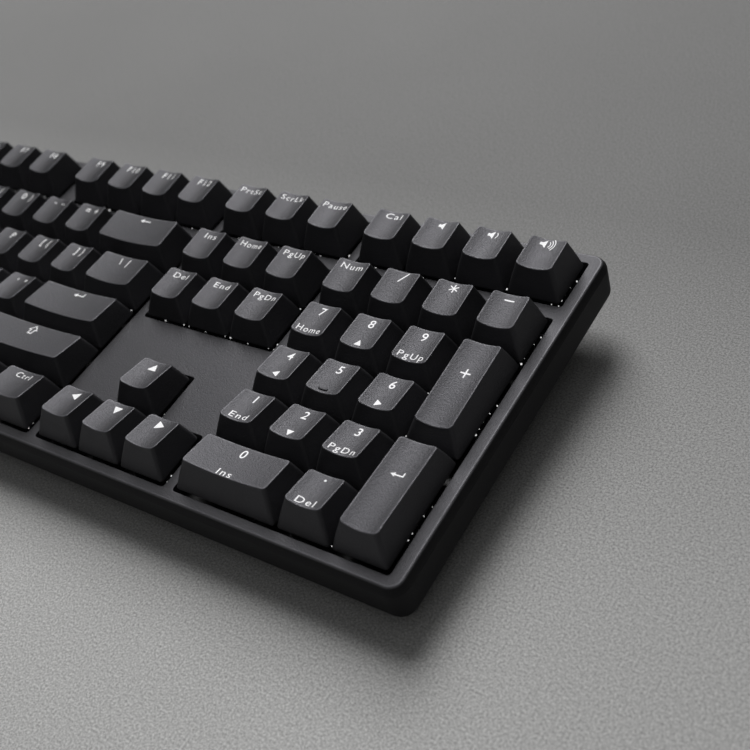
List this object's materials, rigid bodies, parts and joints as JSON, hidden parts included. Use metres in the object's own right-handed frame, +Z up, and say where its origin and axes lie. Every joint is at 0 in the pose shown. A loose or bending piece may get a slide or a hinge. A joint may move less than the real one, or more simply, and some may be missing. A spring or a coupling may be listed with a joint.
{
  "type": "mechanical keyboard",
  "caption": "Full-size wired desk keyboard with sculpted keys that press on spring switches, a navigation block, a number pad, a wedge-shaped case and fold-out tilt feet.",
  "frame": {"origin": "on the desk plane, under the middle of the case's footprint", "axes": "+X along the keyboard to the right as the typist sees it, +Y away from the typist, +Z up"},
  "size_m": [0.4404, 0.1318, 0.0385],
  "materials": {
    "case_top": "fine moulded texture, satin, dark charcoal",
    "case_bottom": "moulded texture, matt, near black",
    "plate": "black powder coat, slight sheen",
    "switch_housing": "glossy black moulding",
    "switch_cover": "clear glossy moulding",
    "switch_stem": "smooth acetal",
    "bright_steel": "bright plated steel",
    "rubber_pad": "matt rubber",
    "keycap": "fine-grained charcoal thermoplastic"
  },
  "bodies": {
    "chassis": {"top_case": "case_top", "bottom_case": "case_bottom", "switch_plate": "plate", "circuit_board_with_switches": "switch_housing", "usb_socket": "bright_steel", "rubber_pad_front_left": "rubber_pad", "rubber_pad_front_right": "rubber_pad", "rubber_pad_rear_left": "rubber_pad", "rubber_pad_rear_right": "rubber_pad", "pad_5_switch_base": "switch_housing", "pad_5_switch_cover": "switch_cover", "pad_5_return_spring": "bright_steel"},
    "tilt_foot_left": {"tilt_foot_left": "case_bottom"},
    "tilt_foot_right": {"tilt_foot_right": "case_bottom"},
    "print_screen_key": {"print_screen_key": "keycap"},
    "scroll_lock_key": {"scroll_lock_key": "keycap"},
    "pause_key": {"pause_key": "keycap"},
    "calculator_key": {"calculator_key": "keycap"},
    "mute_key": {"mute_key": "keycap"},
    "volume_down_key": {"volume_down_key": "keycap"},
    "volume_up_key": {"volume_up_key": "keycap"},
    "insert_key": {"insert_key": "keycap"},
    "home_key": {"home_key": "keycap"},
    "page_up_key": {"page_up_key": "keycap"},
    "delete_key": {"delete_key": "keycap"},
    "end_key": {"end_key": "keycap"},
    "page_down_key": {"page_down_key": "keycap"},
    "arrow_up_key": {"arrow_up_key": "keycap"},
    "arrow_left_key": {"arrow_left_key": "keycap"},
    "arrow_down_key": {"arrow_down_key": "keycap"},
    "arrow_right_key": {"arrow_right_key": "keycap"},
    "num_lock_key": {"num_lock_key": "keycap"},
    "pad_divide_key": {"pad_divide_key": "keycap"},
    "pad_multiply_key": {"pad_multiply_key": "keycap"},
    "pad_minus_key": {"pad_minus_key": "keycap"},
    "pad_7_key": {"pad_7_key": "keycap"},
    "pad_8_key": {"pad_8_key": "keycap"},
    "pad_9_key": {"pad_9_key": "keycap"},
    "pad_plus_key": {"pad_plus_key": "keycap"},
    "pad_4_key": {"pad_4_key": "keycap"},
    "pad_5_key": {"pad_5_key": "keycap", "pad_5_switch_stem": "switch_stem"},
    "pad_6_key": {"pad_6_key": "keycap"},
    "pad_1_key": {"pad_1_key": "keycap"},
    "pad_2_key": {"pad_2_key": "keycap"},
    "pad_3_key": {"pad_3_key": "keycap"},
    "pad_enter_key": {"pad_enter_key": "keycap"},
    "pad_0_key": {"pad_0_key": "keycap"},
    "pad_point_key": {"pad_point_key": "keycap"},
    "escape_key": {"escape_key": "keycap"},
    "function_keys_f1_f4": {"function_keys_f1_f4": "keycap"},
    "function_keys_f5_f8": {"function_keys_f5_f8": "keycap"},
    "function_keys_f9_f12": {"function_keys_f9_f12": "keycap"},
    "number_row_keys": {"number_row_keys": "keycap"},
    "top_letter_row_keys": {"top_letter_row_keys": "keycap"},
    "home_letter_row_keys": {"home_letter_row_keys": "keycap"},
    "lower_letter_row_keys": {"lower_letter_row_keys": "keycap"},
    "bottom_row_left_keys": {"bottom_row_left_keys": "keycap"},
    "space_bar": {"space_bar": "keycap"},
    "bottom_row_right_keys": {"bottom_row_right_keys": "keycap"}
  },
  "joints": [
    {"name": "tilt_foot_left_hinge", "type": "hinge", "parent": "chassis", "child": "tilt_foot_left", "pos_m": [-0.168, 0.042, 0.005], "axis": [1, 0, 0], "range_deg": [0, 100]},
    {"name": "tilt_foot_right_hinge", "type": "hinge", "parent": "chassis", "child": "tilt_foot_right", "pos_m": [0.168, 0.042, 0.005], "axis": [1, 0, 0], "range_deg": [0, 100]},
    {"name": "print_screen_key_press", "type": "slide", "parent": "chassis", "child": "print_screen_key", "axis": [0, 0.0698, -0.9976], "range_m": [0, 0.004], "stiffness_N_per_m": 60, "springref_m": -0.004},
    {"name": "scroll_lock_key_press", "type": "slide", "parent": "chassis", "child": "scroll_lock_key", "axis": [0, 0.0698, -0.9976], "range_m": [0, 0.004], "stiffness_N_per_m": 60, "springref_m": -0.004},
    {"name": "pause_key_press", "type": "slide", "parent": "chassis", "child": "pause_key", "axis": [0, 0.0698, -0.9976], "range_m": [0, 0.004], "stiffness_N_per_m": 60, "springref_m": -0.004},
    {"name": "calculator_key_press", "type": "slide", "parent": "chassis", "child": "calculator_key", "axis": [0, 0.0698, -0.9976], "range_m": [0, 0.004], "stiffness_N_per_m": 60, "springref_m": -0.004},
    {"name": "mute_key_press", "type": "slide", "parent": "chassis", "child": "mute_key", "axis": [0, 0.0698, -0.9976], "range_m": [0, 0.004], "stiffness_N_per_m": 60, "springref_m": -0.004},
    {"name": "volume_down_key_press", "type": "slide", "parent": "chassis", "child": "volume_down_key", "axis": [0, 0.0698, -0.9976], "range_m": [0, 0.004], "stiffness_N_per_m": 60, "springref_m": -0.004},
    {"name": "volume_up_key_press", "type": "slide", "parent": "chassis", "child": "volume_up_key", "axis": [0, 0.0698, -0.9976], "range_m": [0, 0.004], "stiffness_N_per_m": 60, "springref_m": -0.004},
    {"name": "insert_key_press", "type": "slide", "parent": "chassis", "child": "insert_key", "axis": [0, 0.0698, -0.9976], "range_m": [0, 0.004], "stiffness_N_per_m": 60, "springref_m": -0.004},
    {"name": "home_key_press", "type": "slide", "parent": "chassis", "child": "home_key", "axis": [0, 0.0698, -0.9976], "range_m": [0, 0.004], "stiffness_N_per_m": 60, "springref_m": -0.004},
    {"name": "page_up_key_press", "type": "slide", "parent": "chassis", "child": "page_up_key", "axis": [0, 0.0698, -0.9976], "range_m": [0, 0.004], "stiffness_N_per_m": 60, "springref_m": -0.004},
    {"name": "delete_key_press", "type": "slide", "parent": "chassis", "child": "delete_key", "axis": [0, 0.0698, -0.9976], "range_m": [0, 0.004], "stiffness_N_per_m": 60, "springref_m": -0.004},
    {"name": "end_key_press", "type": "slide", "parent": "chassis", "child": "end_key", "axis": [0, 0.0698, -0.9976], "range_m": [0, 0.004], "stiffness_N_per_m": 60, "springref_m": -0.004},
    {"name": "page_down_key_press", "type": "slide", "parent": "chassis", "child": "page_down_key", "axis": [0, 0.0698, -0.9976], "range_m": [0, 0.004], "stiffness_N_per_m": 60, "springref_m": -0.004},
    {"name": "arrow_up_key_press", "type": "slide", "parent": "chassis", "child": "arrow_up_key", "axis": [0, 0.0698, -0.9976], "range_m": [0, 0.004], "stiffness_N_per_m": 60, "springref_m": -0.004},
    {"name": "arrow_left_key_press", "type": "slide", "parent": "chassis", "child": "arrow_left_key", "axis": [0, 0.0698, -0.9976], "range_m": [0, 0.004], "stiffness_N_per_m": 60, "springref_m": -0.004},
    {"name": "arrow_down_key_press", "type": "slide", "parent": "chassis", "child": "arrow_down_key", "axis": [0, 0.0698, -0.9976], "range_m": [0, 0.004], "stiffness_N_per_m": 60, "springref_m": -0.004},
    {"name": "arrow_right_key_press", "type": "slide", "parent": "chassis", "child": "arrow_right_key", "axis": [0, 0.0698, -0.9976], "range_m": [0, 0.004], "stiffness_N_per_m": 60, "springref_m": -0.004},
    {"name": "num_lock_key_press", "type": "slide", "parent": "chassis", "child": "num_lock_key", "axis": [0, 0.0698, -0.9976], "range_m": [0, 0.004], "stiffness_N_per_m": 60, "springref_m": -0.004},
    {"name": "pad_divide_key_press", "type": "slide", "parent": "chassis", "child": "pad_divide_key", "axis": [0, 0.0698, -0.9976], "range_m": [0, 0.004], "stiffness_N_per_m": 60, "springref_m": -0.004},
    {"name": "pad_multiply_key_press", "type": "slide", "parent": "chassis", "child": "pad_multiply_key", "axis": [0, 0.0698, -0.9976], "range_m": [0, 0.004], "stiffness_N_per_m": 60, "springref_m": -0.004},
    {"name": "pad_minus_key_press", "type": "slide", "parent": "chassis", "child": "pad_minus_key", "axis": [0, 0.0698, -0.9976], "range_m": [0, 0.004], "stiffness_N_per_m": 60, "springref_m": -0.004},
    {"name": "pad_7_key_press", "type": "slide", "parent": "chassis", "child": "pad_7_key", "axis": [0, 0.0698, -0.9976], "range_m": [0, 0.004], "stiffness_N_per_m": 60, "springref_m": -0.004},
    {"name": "pad_8_key_press", "type": "slide", "parent": "chassis", "child": "pad_8_key", "axis": [0, 0.0698, -0.9976], "range_m": [0, 0.004], "stiffness_N_per_m": 60, "springref_m": -0.004},
    {"name": "pad_9_key_press", "type": "slide", "parent": "chassis", "child": "pad_9_key", "axis": [0, 0.0698, -0.9976], "range_m": [0, 0.004], "stiffness_N_per_m": 60, "springref_m": -0.004},
    {"name": "pad_plus_key_press", "type": "slide", "parent": "chassis", "child": "pad_plus_key", "axis": [0, 0.0698, -0.9976], "range_m": [0, 0.004], "stiffness_N_per_m": 60, "springref_m": -0.004},
    {"name": "pad_4_key_press", "type": "slide", "parent": "chassis", "child": "pad_4_key", "axis": [0, 0.0698, -0.9976], "range_m": [0, 0.004], "stiffness_N_per_m": 60, "springref_m": -0.004},
    {"name": "pad_5_key_press", "type": "slide", "parent": "chassis", "child": "pad_5_key", "axis": [0, 0.0698, -0.9976], "range_m": [0, 0.004], "stiffness_N_per_m": 60, "springref_m": -0.004, "deforming": ["pad_5_return_spring"]},
    {"name": "pad_6_key_press", "type": "slide", "parent": "chassis", "child": "pad_6_key", "axis": [0, 0.0698, -0.9976], "range_m": [0, 0.004], "stiffness_N_per_m": 60, "springref_m": -0.004},
    {"name": "pad_1_key_press", "type": "slide", "parent": "chassis", "child": "pad_1_key", "axis": [0, 0.0698, -0.9976], "range_m": [0, 0.004], "stiffness_N_per_m": 60, "springref_m": -0.004},
    {"name": "pad_2_key_press", "type": "slide", "parent": "chassis", "child": "pad_2_key", "axis": [0, 0.0698, -0.9976], "range_m": [0, 0.004], "stiffness_N_per_m": 60, "springref_m": -0.004},
    {"name": "pad_3_key_press", "type": "slide", "parent": "chassis", "child": "pad_3_key", "axis": [0, 0.0698, -0.9976], "range_m": [0, 0.004], "stiffness_N_per_m": 60, "springref_m": -0.004},
    {"name": "pad_enter_key_press", "type": "slide", "parent": "chassis", "child": "pad_enter_key", "axis": [0, 0.0698, -0.9976], "range_m": [0, 0.004], "stiffness_N_per_m": 60, "springref_m": -0.004},
    {"name": "pad_0_key_press", "type": "slide", "parent": "chassis", "child": "pad_0_key", "axis": [0, 0.0698, -0.9976], "range_m": [0, 0.004], "stiffness_N_per_m": 60, "springref_m": -0.004},
    {"name": "pad_point_key_press", "type": "slide", "parent": "chassis", "child": "pad_point_key", "axis": [0, 0.0698, -0.9976], "range_m": [0, 0.004], "stiffness_N_per_m": 60, "springref_m": -0.004},
    {"name": "escape_key_press", "type": "slide", "parent": "chassis", "child": "escape_key", "axis": [0, 0.0698, -0.9976], "range_m": [0, 0.004], "stiffness_N_per_m": 60, "springref_m": -0.004},
    {"name": "function_keys_f1_f4_press", "type": "slide", "parent": "chassis", "child": "function_keys_f1_f4", "axis": [0, 0.0698, -0.9976], "range_m": [0, 0.004], "stiffness_N_per_m": 240, "springref_m": -0.004},
    {"name": "function_keys_f5_f8_press", "type": "slide", "parent": "chassis", "child": "function_keys_f5_f8", "axis": [0, 0.0698, -0.9976], "range_m": [0, 0.004], "stiffness_N_per_m": 240, "springref_m": -0.004},
    {"name": "function_keys_f9_f12_press", "type": "slide", "parent": "chassis", "child": "function_keys_f9_f12", "axis": [0, 0.0698, -0.9976], "range_m": [0, 0.004], "stiffness_N_per_m": 240, "springref_m": -0.004},
    {"name": "number_row_keys_press", "type": "slide", "parent": "chassis", "child": "number_row_keys", "axis": [0, 0.0698, -0.9976], "range_m": [0, 0.004], "stiffness_N_per_m": 840, "springref_m": -0.004},
    {"name": "top_letter_row_keys_press", "type": "slide", "parent": "chassis", "child": "top_letter_row_keys", "axis": [0, 0.0698, -0.9976], "range_m": [0, 0.004], "stiffness_N_per_m": 840, "springref_m": -0.004},
    {"name": "home_letter_row_keys_press", "type": "slide", "parent": "chassis", "child": "home_letter_row_keys", "axis": [0, 0.0698, -0.9976], "range_m": [0, 0.004], "stiffness_N_per_m": 780, "springref_m": -0.004},
    {"name": "lower_letter_row_keys_press", "type": "slide", "parent": "chassis", "child": "lower_letter_row_keys", "axis": [0, 0.0698, -0.9976], "range_m": [0, 0.004], "stiffness_N_per_m": 720, "springref_m": -0.004},
    {"name": "bottom_row_left_keys_press", "type": "slide", "parent": "chassis", "child": "bottom_row_left_keys", "axis": [0, 0.0698, -0.9976], "range_m": [0, 0.004], "stiffness_N_per_m": 180, "springref_m": -0.004},
    {"name": "space_bar_press", "type": "slide", "parent": "chassis", "child": "space_bar", "axis": [0, 0.0698, -0.9976], "range_m": [0, 0.004], "stiffness_N_per_m": 60, "springref_m": -0.004},
    {"name": "bottom_row_right_keys_press", "type": "slide", "parent": "chassis", "child": "bottom_row_right_keys", "axis": [0, 0.0698, -0.9976], "range_m": [0, 0.004], "stiffness_N_per_m": 240, "springref_m": -0.004}
  ]
}
